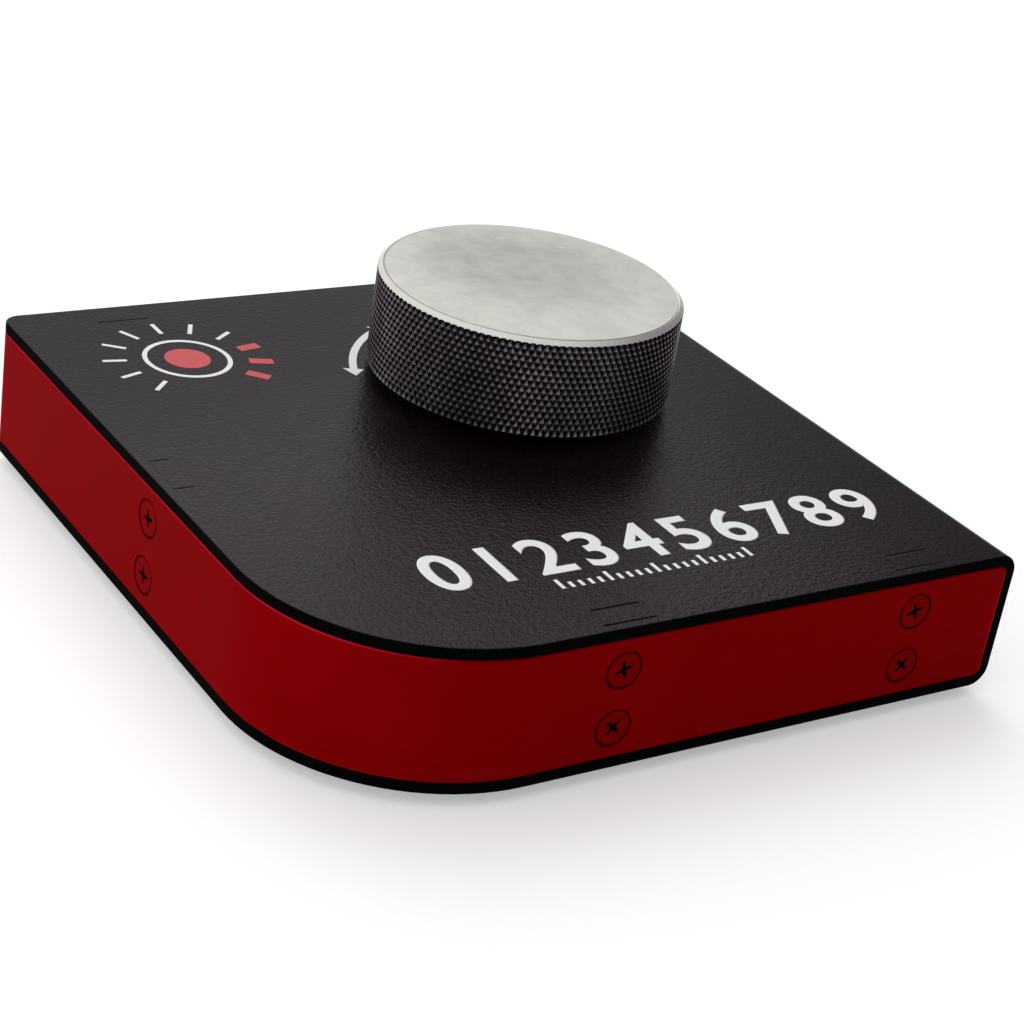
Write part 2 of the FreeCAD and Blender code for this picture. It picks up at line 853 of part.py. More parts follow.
def main_board():
    """The board with its four fixing holes."""
    half = board_width / 2
    board = box(board_x - half, board_x + half, board_front, board_back, board_under, board_over)
    for x, y in board_holes().values():
        board = board.cut(rod(x, y, board_under - overrun, board_over + overrun, board_hole_radius))
    return board


def standoff(x, y):
    """One standoff: a threaded pillar on a spigot that fills its hole in the bottom plate."""
    pillar = rod(x, y, z_floor, board_under, standoff_radius)
    spigot = rod(x, y, z_under, z_floor, standoff_spigot_radius)
    threaded = rod(x, y, z_under - overrun, board_under + overrun, pan_screw_radius + thread_clearance)
    return pillar.fuse(spigot).cut(threaded).removeSplitter()


def board_screws():
    """The pan head screws that hold the main board."""
    screws = []
    for x, y in board_holes().values():
        head_top = board_over + pan_screw_head_height
        head = rod(x, y, board_over, head_top, pan_screw_head_radius)
        rim = [edge for edge in head.Edges if abs(edge.BoundBox.ZMin - head_top) < same_level]
        head = head.makeFillet(pan_screw_head_height / 2, rim)
        shank = rod(x, y, board_over - pan_screw_length, board_over, pan_screw_radius)
        reach = pan_screw_head_radius + overrun
        slot = box(x - reach, x + reach, y - pan_slot_width / 2, y + pan_slot_width / 2,
                   head_top - pan_slot_depth, head_top + overrun)
        screws.append(head.fuse(shank).cut(slot).removeSplitter())
    return Part.makeCompound(screws)


def controller_chip(x, y):
    """The flat chip with gull-wing leads on its four sides, all one group of solids."""
    half = chip_size / 2
    low = board_over + chip_standing
    body = box(x - half, x + half, y - half, y + half, low, low + chip_height)
    solids = [body]
    lead_middle = low + chip_height / 2
    for side in range(4):
        for k in range(chip_leads_a_side):
            along = (k - (chip_leads_a_side - 1) / 2) * lead_pitch
            west = along - lead_width / 2
            east = along + lead_width / 2
            outline = Part.makePolygon([
                V(west, half, lead_middle),
                V(west, half + lead_shoulder, lead_middle),
                V(west, half + lead_shoulder, board_over + lead_thickness),
                V(west, half + lead_reach, board_over + lead_thickness),
                V(west, half + lead_reach, board_over),
                V(west, half + lead_shoulder - lead_thickness, board_over),
                V(west, half + lead_shoulder - lead_thickness, lead_middle - lead_thickness),
                V(west, half, lead_middle - lead_thickness),
                V(west, half, lead_middle),
            ])
            lead = Part.Face(outline).extrude(V(east - west, 0, 0))
            lead.rotate(V(0, 0, 0), V(0, 0, 1), 90 * side)
            lead.translate(V(x, y, 0))
            solids.append(lead)
    return Part.makeCompound(solids)


def rounded_block(x, y, length, width, height, edge):
    """A block on the main board with its upper corners rounded."""
    block = box(x - length / 2, x + length / 2, y - width / 2, y + width / 2, board_over, board_over + height)
    upright = [e for e in block.Edges if e.BoundBox.ZLength > height / 2]
    return block.makeFillet(edge, upright)


def capacitors(x, y):
    """A row of block capacitors."""
    blocks = []
    for k in range(capacitor_count):
        along = y + (k - (capacitor_count - 1) / 2) * capacitor_pitch
        block = rounded_block(x, along, capacitor_length, capacitor_width, capacitor_height, block_corner)
        blocks.append(block)
    return Part.makeCompound(blocks)


def usb_shell_part():
    """The metal shell of the cable socket, closed at its rear."""
    rear = usb_mouth - usb_length
    shell = rounded_slot(usb_width, usb_height, usb_corner, rear, usb_mouth, board_x, usb_z)
    inside = rounded_slot(usb_width - 2 * usb_shell, usb_height - 2 * usb_shell, usb_corner - usb_shell,
                          rear + usb_back_wall, usb_mouth + overrun, board_x, usb_z)
    return shell.cut(inside)


def usb_tongue():
    """The contact tongue inside the shell."""
    rear = usb_mouth - usb_length + usb_back_wall
    return box(board_x - usb_tongue_width / 2, board_x + usb_tongue_width / 2, rear, rear + usb_tongue_length,
               usb_z - usb_tongue_height / 2, usb_z + usb_tongue_height / 2)


def side_screws():
    """All the band's screws, two to a post."""
    screws = []
    turns = iter(recess_turns)
    for side, along in posts.values():
        for level in screw_levels:
            screws.append(on_side(facing_out(side_screw(next(turns)), level), side, along))
    return Part.makeCompound(screws)


parts = {
    "case_wrap": case_wrap(),
    "side_band": side_band(),
    "side_screws": side_screws(),
    "knob": knob(),
    "knob_grub_screw": grub_screw(),
    "encoder_shaft": encoder_shaft(),
    "encoder_bushing": encoder_bushing(),
    "encoder_washer": encoder_washer(),
    "encoder_nut": encoder_nut(),
    "encoder_can": encoder_can(),
    "encoder_board": encoder_board(),
    "encoder_board_screws": encoder_board_screws(),
    "thrust_washer": thrust_washer(),
    "shaft_clip": shaft_clip(),
    "code_wheel_hub": code_wheel_hub(),
    "code_wheel": code_wheel(),
    "encoder_sensor": encoder_sensor(),
    "encoder_cable_socket": moved_to(cable_socket(encoder_board_bottom, False), knob_x, encoder_socket_back),
    "encoder_cable_plug": moved_to(cable_plug(encoder_board_bottom, False), knob_x, encoder_socket_back),
    "board_cable_socket": moved_to(cable_socket(board_over, True), board_x, board_socket_back),
    "board_cable_plug": moved_to(cable_plug(board_over, True), board_x, board_socket_back),
    "inner_cable": inner_cable(),
    "main_board": main_board(),
    "board_screws": board_screws(),
    "controller_chip": controller_chip(chip_x, board_front + chip_behind_front),
    "crystal": rounded_block(crystal_x, board_front + crystal_behind_front,
                             crystal_length, crystal_width, crystal_height, crystal_corner),
    "voltage_regulator": rounded_block(regulator_x, board_front + regulator_behind_front,
                                       regulator_length, regulator_width, regulator_height, block_corner),
    "capacitors": capacitors(capacitor_x, board_front + capacitor_behind_front),
    "usb_shell": usb_shell_part(),
    "usb_tongue": usb_tongue(),
}
for name, (side, along) in posts.items():
    parts[name] = on_side(post(), side, along)
for name, (x, y) in board_holes().items():
    parts["standoff_" + name] = standoff(x, y)
far_x = half_width - foot_inset
far_y = half_depth - foot_inset
parts["foot_front_left"] = foot(-half_width + front_left_foot_inset, -half_depth + front_left_foot_inset)
parts["foot_front_right"] = foot(far_x, -far_y)
parts["foot_back_left"] = foot(-far_x, far_y)
parts["foot_back_right"] = foot(far_x, far_y)

os.makedirs("parts", exist_ok=True)
for name, shape in parts.items():
    solids = shape.Solids
    whole = solids[0] if len(solids) == 1 else Part.makeCompound(solids)
    whole.exportStep("parts/" + name + ".step")
    print(name, len(solids), "solids", round(whole.Volume, 1), "valid" if whole.isValid() else "INVALID")
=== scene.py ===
import json
import math

import bmesh
import bpy
import numpy as np
from mathutils import Euler, Matrix, Vector


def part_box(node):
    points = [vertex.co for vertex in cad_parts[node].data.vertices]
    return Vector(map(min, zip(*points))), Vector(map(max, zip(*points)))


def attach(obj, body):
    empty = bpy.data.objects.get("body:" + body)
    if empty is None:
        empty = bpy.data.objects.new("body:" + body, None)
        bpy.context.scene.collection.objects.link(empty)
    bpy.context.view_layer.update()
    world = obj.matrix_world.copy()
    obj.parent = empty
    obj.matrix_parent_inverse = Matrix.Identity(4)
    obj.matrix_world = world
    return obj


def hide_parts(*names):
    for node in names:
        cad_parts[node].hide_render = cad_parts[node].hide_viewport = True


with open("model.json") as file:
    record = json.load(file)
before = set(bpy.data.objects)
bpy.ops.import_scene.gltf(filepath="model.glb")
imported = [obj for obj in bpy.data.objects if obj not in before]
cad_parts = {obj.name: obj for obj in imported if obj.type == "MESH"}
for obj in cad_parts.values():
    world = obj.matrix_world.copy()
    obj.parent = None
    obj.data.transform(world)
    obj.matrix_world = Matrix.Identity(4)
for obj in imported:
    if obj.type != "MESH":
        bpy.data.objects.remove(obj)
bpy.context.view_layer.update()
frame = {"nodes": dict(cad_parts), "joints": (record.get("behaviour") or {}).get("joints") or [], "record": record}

# Looks of a desk controller: one big knurled knob on a thin black case with a red side band.
# Everything is in metres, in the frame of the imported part: +X right, +Y back, +Z up.
MM = 0.001

# Camera of the photograph
CAMERA_PLACE = (-0.20006, -0.27996, 0.18356)
CAMERA_TURN_DEGREES = (63.166, -8.467, -32.102)
CAMERA_LENS_MM = 82.86
CAMERA_NEAR = 0.01
CAMERA_FAR = 50.0
SENSOR_MM = 36.0

# Knob, as in the part's source
KNOB_AXIS = frame["joints"][0]["pos_m"]
KNOB_X = KNOB_AXIS[0]
KNOB_Y = KNOB_AXIS[1]
KNOB_RADIUS = 25.7 * MM
CHAMFER_HEIGHT = 0.80 * MM
CHAMFER_WIDTH = 0.90 * MM
LOWER_CHAMFER = 0.50 * MM
KNOB_WALL = 5.5 * MM
KNOB_TOP_THICKNESS = 5.0 * MM
HUB_RADIUS = 9.0 * MM
HUB_BORE_RADIUS = 3.02 * MM
HUB_BORE_INTO_TOP = 1.0 * MM
HUB_ABOVE_KNOB_BOTTOM = 4.3 * MM
GRUB_DIRECTION = math.radians(52.0)
GRUB_ABOVE_HUB = 3.3 * MM
GRUB_BORE_RADIUS = 1.95 * MM
GRUB_ACCESS_RADIUS = 2.3 * MM
DRILL_OVERRUN = 1.0 * MM
DRILL_SIDES = 48
INNER_BREAK = 0.2 * MM
HOLLOW_FILLET = 0.5 * MM
TOP_RINGS = (2.0 * MM, 8.0 * MM, 16.0 * MM)
KNOB_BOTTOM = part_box("knob")[0].z
KNOB_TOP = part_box("knob")[1].z

# Knurl: two crossing families of grooves, with small flats on the peaks between them, that
# bite a little into the chamfer above. The paler peaks, part wear and part painted highlight,
# end within the skin.
KNURL_ROUND = 136
KNURL_HALF_ROWS = 15
KNURL_STEPS = 3
KNURL_DEPTH = 0.33 * MM
KNURL_FLAT_SHARE = 0.15
KNURL_TOP_NOTCH_SHARE = 0.12
KNURL_BITE = 0.12 * MM
KNURL_SKIN_OUTER = 0.4 * MM
KNURL_SKIN_INNER = 0.6 * MM
KNURL_TOP = KNOB_TOP - CHAMFER_HEIGHT
KNURL_BOTTOM = KNOB_BOTTOM + LOWER_CHAMFER

# Fine groove between the bare top and its chamfer
EDGE_GROOVE_WIDTH = 0.24 * MM
EDGE_GROOVE_DEPTH = 0.17 * MM
EDGE_GROOVE_LEAN = 0.02 * MM
EDGE_BREAK_WIDTH = 0.06 * MM
EDGE_BREAK_DROP = 0.05 * MM

# Top plate
PLATE_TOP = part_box("case_wrap")[1].z
HALF_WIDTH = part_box("case_wrap")[1].x
HALF_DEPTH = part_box("case_wrap")[1].y

# Printed marks: how far they stand over the plate and reach into it
PRINT_OVER = 0.03 * MM
PRINT_UNDER = 0.02 * MM

# Meshes: points closer than this are one, and smooth faces meet sharply from this angle on
WELD = 0.001 * MM
SHARP_FROM = math.radians(30.0)

# Width over which a painted edge fades
SOFT_EDGE = 0.12 * MM


class Wire:
    """A node's output that takes part in sums: each operator adds a Math node."""

    def __init__(self, bench, socket):
        self.bench = bench
        self.socket = socket

    def out(self, name):
        """Another output of the same node."""
        return Wire(self.bench, self.socket.node.outputs[name])

    def sum(self, operation, *others):
        return self.bench.node("ShaderNodeMath", {"operation": operation}, dict(enumerate((self,) + others)))

    def __add__(self, other):
        return self.sum("ADD", other)

    __radd__ = __add__

    def __mul__(self, other):
        return self.sum("MULTIPLY", other)

    __rmul__ = __mul__

    def __sub__(self, other):
        return self.sum("SUBTRACT", other)

    def __rsub__(self, other):
        return (self * -1.0).sum("ADD", other)

    def __abs__(self):
        return self.sum("ABSOLUTE")

    def least(self, other):
        return self.sum("MINIMUM", other)

    def most(self, other):
        return self.sum("MAXIMUM", other)

    def step(self, start, end):
        """0 where this is at start, 1 where it is at end, eased between."""
        settings = {"interpolation_type": "SMOOTHSTEP"}
        inputs = {"Value": self, "From Min": start, "From Max": end}
        return self.bench.node("ShaderNodeMapRange", settings, inputs)


class Bench:
    """Adds nodes to one node tree: node() makes any of them, and the rest are short forms of it."""

    def __init__(self, tree):
        self.tree = tree

    def feed(self, socket, value):
        if isinstance(value, Wire):
            self.tree.links.new(value.socket, socket)
        else:
            socket.default_value = value

    def node(self, kind, settings=None, inputs=None, output=0):
        """Adds a node: its settings first, then the values or links of its sockets."""
        made = self.tree.nodes.new(kind)
        for key, value in (settings or {}).items():
            setattr(made, key, value)
        for key, value in (inputs or {}).items():
            self.feed(made.inputs[key], value)
        return Wire(self, made.outputs[output])

    def place(self):
        """The point on the object, in its own metres."""
        return self.node("ShaderNodeTexCoord", output="Object")

    def split(self, vector):
        """The x, y and z of a vector."""
        x = self.node("ShaderNodeSeparateXYZ", inputs={0: vector})
        return x, x.out("Y"), x.out("Z")

    def axes(self):
        """The x, y and z of the point on the object."""
        return self.split(self.place())

    def vector(self, operation, first, second, output=0):
        """One sum on two vectors."""
        return self.node("ShaderNodeVectorMath", {"operation": operation}, {0: first, 1: second}, output)

    def apart(self, point):
        """Distance from a point."""
        return self.vector("DISTANCE", self.place(), point, "Value")

    def reach(self, x, y):
        """Distance from the upright axis through x, y."""
        flat = self.vector("MULTIPLY", self.place(), (1.0, 1.0, 0.0))
        return self.vector("DISTANCE", flat, (x, y, 0.0), "Value")

    def noise(self, size, detail=2.0, roughness=0.5, where=None):
        """Cloudy noise about 0.5 whose blots are about size metres across."""
        place = where or self.place()
        inputs = {"Vector": place, "Scale": 1.0 / size, "Detail": detail, "Roughness": roughness}
        return self.node("ShaderNodeTexNoise", None, inputs)

    def cells(self, size, output="Distance", **settings):
        """Distance to the nearest of scattered points about size metres apart, in cell widths."""
        inputs = {"Vector": self.place(), "Scale": 1.0 / size}
        return self.node("ShaderNodeTexVoronoi", settings, inputs, output)

    def stretched(self, x, y, z):
        """The object's point with each axis scaled, for grain drawn out one way."""
        return self.node("ShaderNodeMapping", None, {"Vector": self.place(), "Scale": (x, y, z)})

    def mix(self, share, first, second):
        """Colour between first and second by share."""
        return self.node("ShaderNodeMix", {"data_type": "RGBA"}, {0: share, 6: first, 7: second}, 2)

    def bump(self, height, depth):
        """A normal that shows height, where 1 stands depth metres over 0."""
        return self.node("ShaderNodeBump", None, {"Height": height, "Distance": depth})

    def seen(self):
        """1 for the camera, reflections and what shows through glass, 0 for light that falls on things."""
        path = self.node("ShaderNodeLightPath", output="Is Camera Ray")
        return path.most(path.out("Is Glossy Ray")).most(path.out("Is Transmission Ray"))


class Finish(Bench):
    """A material under making."""

    def __init__(self, name):
        self.material = bpy.data.materials.new(name)
        self.material.use_nodes = True
        super().__init__(self.material.node_tree)
        self.shader = self.tree.nodes["Principled BSDF"]

    def wear(self, **values):
        """Sets or links the shader's sockets, named with _ for a space."""
        for key, value in values.items():
            self.feed(self.shader.inputs[key.replace("_", " ")], value)
        return self.material

    def over(self, share, **values):
        """Lays the finish so far over a second one with these values: share 1 shows the first alone."""
        under = self.node("ShaderNodeBsdfPrincipled")
        for key, value in values.items():
            self.feed(under.socket.node.inputs[key.replace("_", " ")], value)
        first = Wire(self, self.shader.outputs[0])
        both = self.node("ShaderNodeMixShader", None, {0: share, 1: under, 2: first})
        self.feed(self.tree.nodes["Material Output"].inputs["Surface"], both)
        return self.material

    def level(self):
        """1 on faces that look up or down, 0 on upright ones."""
        upright = self.split(self.node("ShaderNodeNewGeometry", output="Normal"))[2]
        return abs(upright).step(0.55, 0.85)


def grey(value):
    return (value, value, value, 1.0)


def rgb(red, green, blue):
    return (red, green, blue, 1.0)


def dimmed(colour, share):
    """A colour times share."""
    return rgb(*(share * part for part in colour[:3]))


# Case

TAB_HALF_WIDTH = 4.6 * MM
TAB_NEAR = 1.65 * MM
TAB_FAR = 5.85 * MM
SEAM_HALF_WIDTH = 0.23 * MM
NEAR_SEAM_SHIFT = 0.7 * MM
FAR_SEAM_SHIFT = 0.9 * MM
FAR_SEAM_HALF_WIDTH = 4.2 * MM
LEFT_SEAM_LENGTH = 3.4 * MM
SEAM_FADE_INSIDE = 0.5 * MM
SEAM_FADE_OUTSIDE = 0.3 * MM


def middle_of(node, axis):
    """The middle of a node's box along an axis."""
    low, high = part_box(node)
    return (low[axis] + high[axis]) / 2


def near(value, target, half_width):
    """1 on a line where value equals target, fading to 0 at half_width from it."""
    return 1.0 - abs(value - target).step(0.0, half_width)


def within(value, middle, half_width):
    """1 where value is within half_width of middle, fading at both ends."""
    off = abs(value - middle)
    return 1.0 - off.step(half_width - SEAM_FADE_INSIDE, half_width + SEAM_FADE_OUTSIDE)


def tab_seams(bench):
    """Lines along X where the coat has sunk over the long joints of the posts' tabs."""
    x, y = bench.axes()[:2]
    seams = []
    for name in ("post_front_left", "post_front_right"):
        post_x = middle_of(name, 0)
        seams.append((post_x + NEAR_SEAM_SHIFT, TAB_HALF_WIDTH, TAB_NEAR - HALF_DEPTH))
        seams.append((post_x + FAR_SEAM_SHIFT, FAR_SEAM_HALF_WIDTH, TAB_FAR - HALF_DEPTH))
    for name in ("post_back_left", "post_back_right"):
        seams.append((middle_of(name, 0), TAB_HALF_WIDTH, HALF_DEPTH - TAB_FAR))
    left_half = LEFT_SEAM_LENGTH / 2
    left_x = TAB_NEAR + left_half - HALF_WIDTH
    for side in (-1, 1):
        seams.append((left_x, left_half, middle_of("post_left", 1) + side * TAB_HALF_WIDTH))
    lines = 0.0
    for seam_x, half_length, seam_y in seams:
        lines = near(y, seam_y, SEAM_HALF_WIDTH) * within(x, seam_x, half_length) + lines
    return lines


def powder_coat(name):
    """Black satin powder coat, smoother towards the back and right: small soft lumps, a few pale
    specks of painted glint and sunken seams. Upright faces, and partly the back and right, show a
    matt black copy as painted shade."""
    finish = Finish(name)
    lumps = finish.noise(0.85 * MM, detail=2.0, roughness=0.6)
    grain = finish.noise(0.30 * MM, detail=1.0)
    patches = finish.noise(9.0 * MM, detail=2.0)
    # Painted glints: pale specks mixed into the coat's colour.
    painted_glints = finish.noise(0.30 * MM, detail=0.0).step(0.76, 0.84)
    seams = tab_seams(finish).least(1.0)
    coat = finish.mix(patches.step(0.35, 0.7), rgb(0.0026, 0.0002, 0.0012), rgb(0.0040, 0.0006, 0.0019))
    coat = finish.mix(painted_glints * 0.4, coat, rgb(0.10, 0.098, 0.098))
    x, y = finish.axes()[:2]
    smooth = x.step(0.35 * HALF_WIDTH, 0.80 * HALF_WIDTH) * 0.8
    coarse = y.step(0.7 * HALF_DEPTH, -0.7 * HALF_DEPTH) * (1.0 - smooth)
    # Painted shade: a matt black share that darkens the coat towards the back and right.
    darkening = y.step(-0.2 * HALF_DEPTH, 0.9 * HALF_DEPTH).most(x.step(0.1 * HALF_WIDTH, 0.9 * HALF_WIDTH))
    height = (lumps * 0.75 + grain * 0.25) * (0.38 + coarse * 0.62) - seams * 0.85
    normal = finish.bump(height, 0.22 * MM)
    finish.wear(Base_Color=coat, Roughness=0.26 + patches * 0.06, Specular_IOR_Level=0.125,
                Specular_Tint=rgb(1.0, 0.72, 0.90), Normal=normal)
    # Painted shade: upright faces, and partly the back and right, take a matt black copy of the coat; the seams go
    # matt as dark joints.
    shown = finish.level() * (1.0 - seams * 0.9) * (1.0 - darkening * 0.28)
    return finish.over(shown, Base_Color=grey(0.0012), Roughness=0.75, Specular_IOR_Level=0.01, Normal=normal)


BAND_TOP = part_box("side_band")[1].z
BAND_MIDDLE = middle_of("side_band", 2)
BAND_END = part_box("side_band")[1].x
BAND_HIGHLIGHT_WIDTH = 0.34 * MM
BAND_HIGHLIGHT_FROM_X = -0.96 * HALF_WIDTH
BAND_HIGHLIGHT_TO_X = -0.60 * HALF_WIDTH
SCREW_HALF_SPREAD = 4.8 * MM
SCREW_SHADE_RADIUS = 3.10 * MM
SCREW_SHADE_SHIFT = (-0.09 * MM, -0.08 * MM, -0.04 * MM)


def screw_centres():
    """The middle of each side screw's face, on the outside of the band."""
    places = []
    for name in ("post_front_left", "post_front_right"):
        places.append((middle_of(name, 0), -HALF_DEPTH))
    for name in ("post_back_left", "post_back_right"):
        places.append((middle_of(name, 0), HALF_DEPTH))
    places.append((-HALF_WIDTH, middle_of("post_left", 1)))
    return [(x, y, BAND_MIDDLE + side * SCREW_HALF_SPREAD) for x, y in places for side in (1, -1)]


def screw_shade(bench):
    """1 on the band close round each screw, wider at one side, where painted shade fills the gap."""
    nearest = 1.0
    for centre in screw_centres():
        shifted = tuple(part + shift for part, shift in zip(centre, SCREW_SHADE_SHIFT))
        nearest = bench.apart(shifted).least(nearest)
    return nearest.step(SCREW_SHADE_RADIUS + SOFT_EDGE, SCREW_SHADE_RADIUS)


def band_paint(name):
    """Red semi-gloss powder coat with a faint orange peel, with a painted highlight along its edges
    at the left and at its ends, and painted shade round the screws."""
    finish = Finish(name)
    peel = finish.noise(1.1 * MM, detail=2.0)
    grain = finish.noise(0.2 * MM, detail=1.0)
    patches = finish.noise(14.0 * MM, detail=2.0)
    paint = finish.mix(patches.step(0.3, 0.7), rgb(0.244, 0.0002, 0.0012), rgb(0.264, 0.0003, 0.0020))
    x, z = finish.axes()[::2]
    # Painted highlight: brighter red along the band's top and bottom edges at the left, and at its right end.
    rim = (BAND_TOP - abs(z - BAND_MIDDLE) - BAND_MIDDLE).step(BAND_HIGHLIGHT_WIDTH, 0.0)
    left = x.step(BAND_HIGHLIGHT_TO_X, BAND_HIGHLIGHT_FROM_X)
    painted_highlight = (rim * left).most(x.step(BAND_END - BAND_HIGHLIGHT_WIDTH, BAND_END) * 0.6)
    paint = finish.mix(painted_highlight * (0.45 + patches * 0.8), paint, rgb(0.80, 0.020, 0.040))
    # Painted shade in the gap round each screw head.
    paint = finish.mix(screw_shade(finish) * 0.75, paint, rgb(0.004, 0.0, 0.0))
    return finish.wear(Base_Color=paint, Roughness=0.38 + patches * 0.08, Specular_IOR_Level=0.004,
                       Normal=finish.bump(peel * 0.8 + grain * 0.2, 0.012 * MM))


SCREW_FACE_DEPTH = 0.30 * MM


def screw_paint(name):
    """The band's red on the screw heads, worn to dark steel inside the recess and below,
    darkened further there with painted shade.
    """
    finish = Finish(name)
    x, y = finish.axes()[:2]
    depth = (x + HALF_WIDTH).least(y + HALF_DEPTH).least(HALF_DEPTH - y)
    bare = depth.step(SCREW_FACE_DEPTH - SOFT_EDGE, SCREW_FACE_DEPTH)
    peel = finish.noise(0.7 * MM, detail=2.0)
    paint = finish.mix(peel, rgb(0.220, 0.0002, 0.0012), rgb(0.240, 0.0003, 0.0020))
    # Dark steel in the recess, darkened further with painted shade.
    colour = finish.mix(bare, paint, grey(0.003))
    return finish.wear(Base_Color=colour, Roughness=0.40 + bare * 0.15, Specular_IOR_Level=0.004,
                       Normal=finish.bump(peel, 0.02 * MM))


# Knob finishes

def knurl_peaks(bench):
    """How high a point lies on the knurl, 0 in a groove and 1 on a peak, by its turn and level."""
    x, y, z = bench.axes()
    turn = (y - KNOB_Y).sum("ARCTAN2", x - KNOB_X) * (KNURL_ROUND / math.pi)
    level = (z - KNURL_BOTTOM) * (KNURL_HALF_ROWS / (KNURL_TOP - KNURL_BOTTOM))
    heights = []
    for lean in ((turn + level) * 0.5, (turn - level) * 0.5):
        heights.append(1.0 - abs(lean - lean.sum("ROUND")) * 2.0)
    reach = bench.reach(KNOB_X, KNOB_Y)
    outside = reach.step(KNOB_RADIUS - KNURL_SKIN_INNER, KNOB_RADIUS - KNURL_SKIN_OUTER)
    return heights[0].least(heights[1]) * outside


def black_anodised(name):
    """Black anodised aluminium with a dark metal shine, paler on the peaks of the knurl,
    part by wear and part by painted highlight.
    """
    finish = Finish(name)
    rub = finish.noise(2.6 * MM, detail=3.0).step(0.25, 0.75)
    body = finish.mix(rub, rgb(0.036, 0.030, 0.033), rgb(0.058, 0.050, 0.054))
    peak_wear_and_highlight = finish.mix(rub, rgb(0.140, 0.124, 0.132), rgb(0.250, 0.225, 0.238))
    # Paler peaks: wear and painted highlight.
    colour = finish.mix(knurl_peaks(finish).step(0.38, 0.68), body, peak_wear_and_highlight)
    grain = finish.noise(0.12 * MM, detail=2.0)
    return finish.wear(Base_Color=colour, Metallic=1.0, Roughness=0.20 + grain * 0.14,
                       Normal=finish.bump(grain, 0.008 * MM))


DARK_PATCH_X = KNOB_X + 1.0 * MM
DARK_PATCH_Y = KNOB_Y + 6.5 * MM
DARK_PATCH_REACH = 26.0 * MM
DARK_PATCH_WAVER = 18.0 * MM
TURNING_PITCH = 0.11 * MM
RIM_WIDTH = 1.0 * MM
RIM_FADE = 0.15 * MM


def bare_aluminium(name):
    """Turned aluminium, darker and a little rougher in a wavering patch towards the back, with cloudy
    smudges, a few thumb marks and very faint turning rings."""
    finish = Finish(name)
    reach = finish.reach(KNOB_X, KNOB_Y)
    clouds = finish.noise(13.0 * MM, detail=3.0, roughness=0.55)
    smudges = finish.noise(4.2 * MM, detail=3.0, roughness=0.6)
    fine = finish.noise(0.5 * MM, detail=3.0, roughness=0.6)
    outwards = {"W": reach, "Scale": 1.0 / TURNING_PITCH}
    rings = finish.node("ShaderNodeTexNoise", {"noise_dimensions": "1D"}, outwards)
    flat = reach.step(KNOB_RADIUS - RIM_WIDTH, KNOB_RADIUS - RIM_WIDTH - RIM_FADE)
    wavering = finish.reach(DARK_PATCH_X, DARK_PATCH_Y) + (clouds - 0.5) * DARK_PATCH_WAVER
    dark_patch = wavering.step(DARK_PATCH_REACH, 0.25 * DARK_PATCH_REACH)
    darkening = dark_patch * 0.57 + clouds.step(0.34, 0.62) * 0.17 + smudges.step(0.35, 0.70) * 0.22
    top = finish.mix(darkening, rgb(0.592, 0.594, 0.548), rgb(0.335, 0.339, 0.315))
    metal = finish.mix(flat, rgb(0.680, 0.668, 0.630), top)
    marks = smudges.step(0.60, 0.74) * clouds.step(0.50, 0.62)
    metal = finish.mix(marks * flat * 0.5, metal, rgb(0.66, 0.66, 0.62))
    rough = 0.34 + flat * 0.12 + darkening * 0.05 + fine * 0.05
    height = rings * 0.5 + fine * 0.35 + smudges * 0.6
    return finish.wear(Base_Color=metal, Metallic=0.85, Roughness=rough,
                       Normal=finish.bump(height, 0.006 * MM))


# Printed marks

def ink(name, colour, thin_colour):
    """Screen printed ink: thinner in small pits, lumpy with the coat below."""
    finish = Finish(name)
    lumps = finish.noise(0.6 * MM, detail=2.0)
    pits = finish.noise(0.35 * MM, detail=2.0).step(0.60, 0.78)
    mixed = finish.mix(pits * 0.5, colour, thin_colour)
    return finish.wear(Base_Color=mixed, Roughness=0.45 + lumps * 0.1, Normal=finish.bump(lumps, 0.03 * MM))


# Inner pieces and feet

def ground_steel(name, colour, roughness, grain, metallic=1.0):
    """Ground or plated metal: fine scratches drawn out along Z and a cloudy tarnish."""
    finish = Finish(name)
    drawn_out = finish.stretched(1.0, 1.0, 0.08)
    scratches = finish.noise(grain, detail=3.0, roughness=0.6, where=drawn_out)
    tarnish = finish.noise(3.0 * MM, detail=2.0)
    darker = dimmed(colour, 0.82)
    metal = finish.mix(tarnish.step(0.3, 0.7), darker, colour)
    return finish.wear(Base_Color=metal, Metallic=metallic, Roughness=roughness + scratches * 0.12,
                       Normal=finish.bump(scratches, 0.006 * MM))


def blasted_metal(name, colour):
    """Die cast metal with a bead blasted skin."""
    finish = Finish(name)
    dimples = finish.cells(0.25 * MM)
    clouds = finish.noise(4.0 * MM, detail=2.0)
    darker = dimmed(colour, 0.85)
    metal = finish.mix(clouds, darker, colour)
    return finish.wear(Base_Color=metal, Metallic=1.0, Roughness=0.42 + clouds * 0.12,
                       Normal=finish.bump(dimples, 0.02 * MM))


def moulded(name, colour, roughness, texture_size, texture_depth):
    """Moulded plastic, rubber or epoxy: one colour that drifts a little, with a fine mould texture."""
    finish = Finish(name)
    texture = finish.noise(texture_size, detail=2.0)
    drift = finish.noise(3.5 * MM, detail=2.0)
    darker = dimmed(colour, 0.8)
    body = finish.mix(drift.step(0.3, 0.7), darker, colour)
    return finish.wear(Base_Color=body, Roughness=roughness + texture * 0.1,
                       Normal=finish.bump(texture, texture_depth))


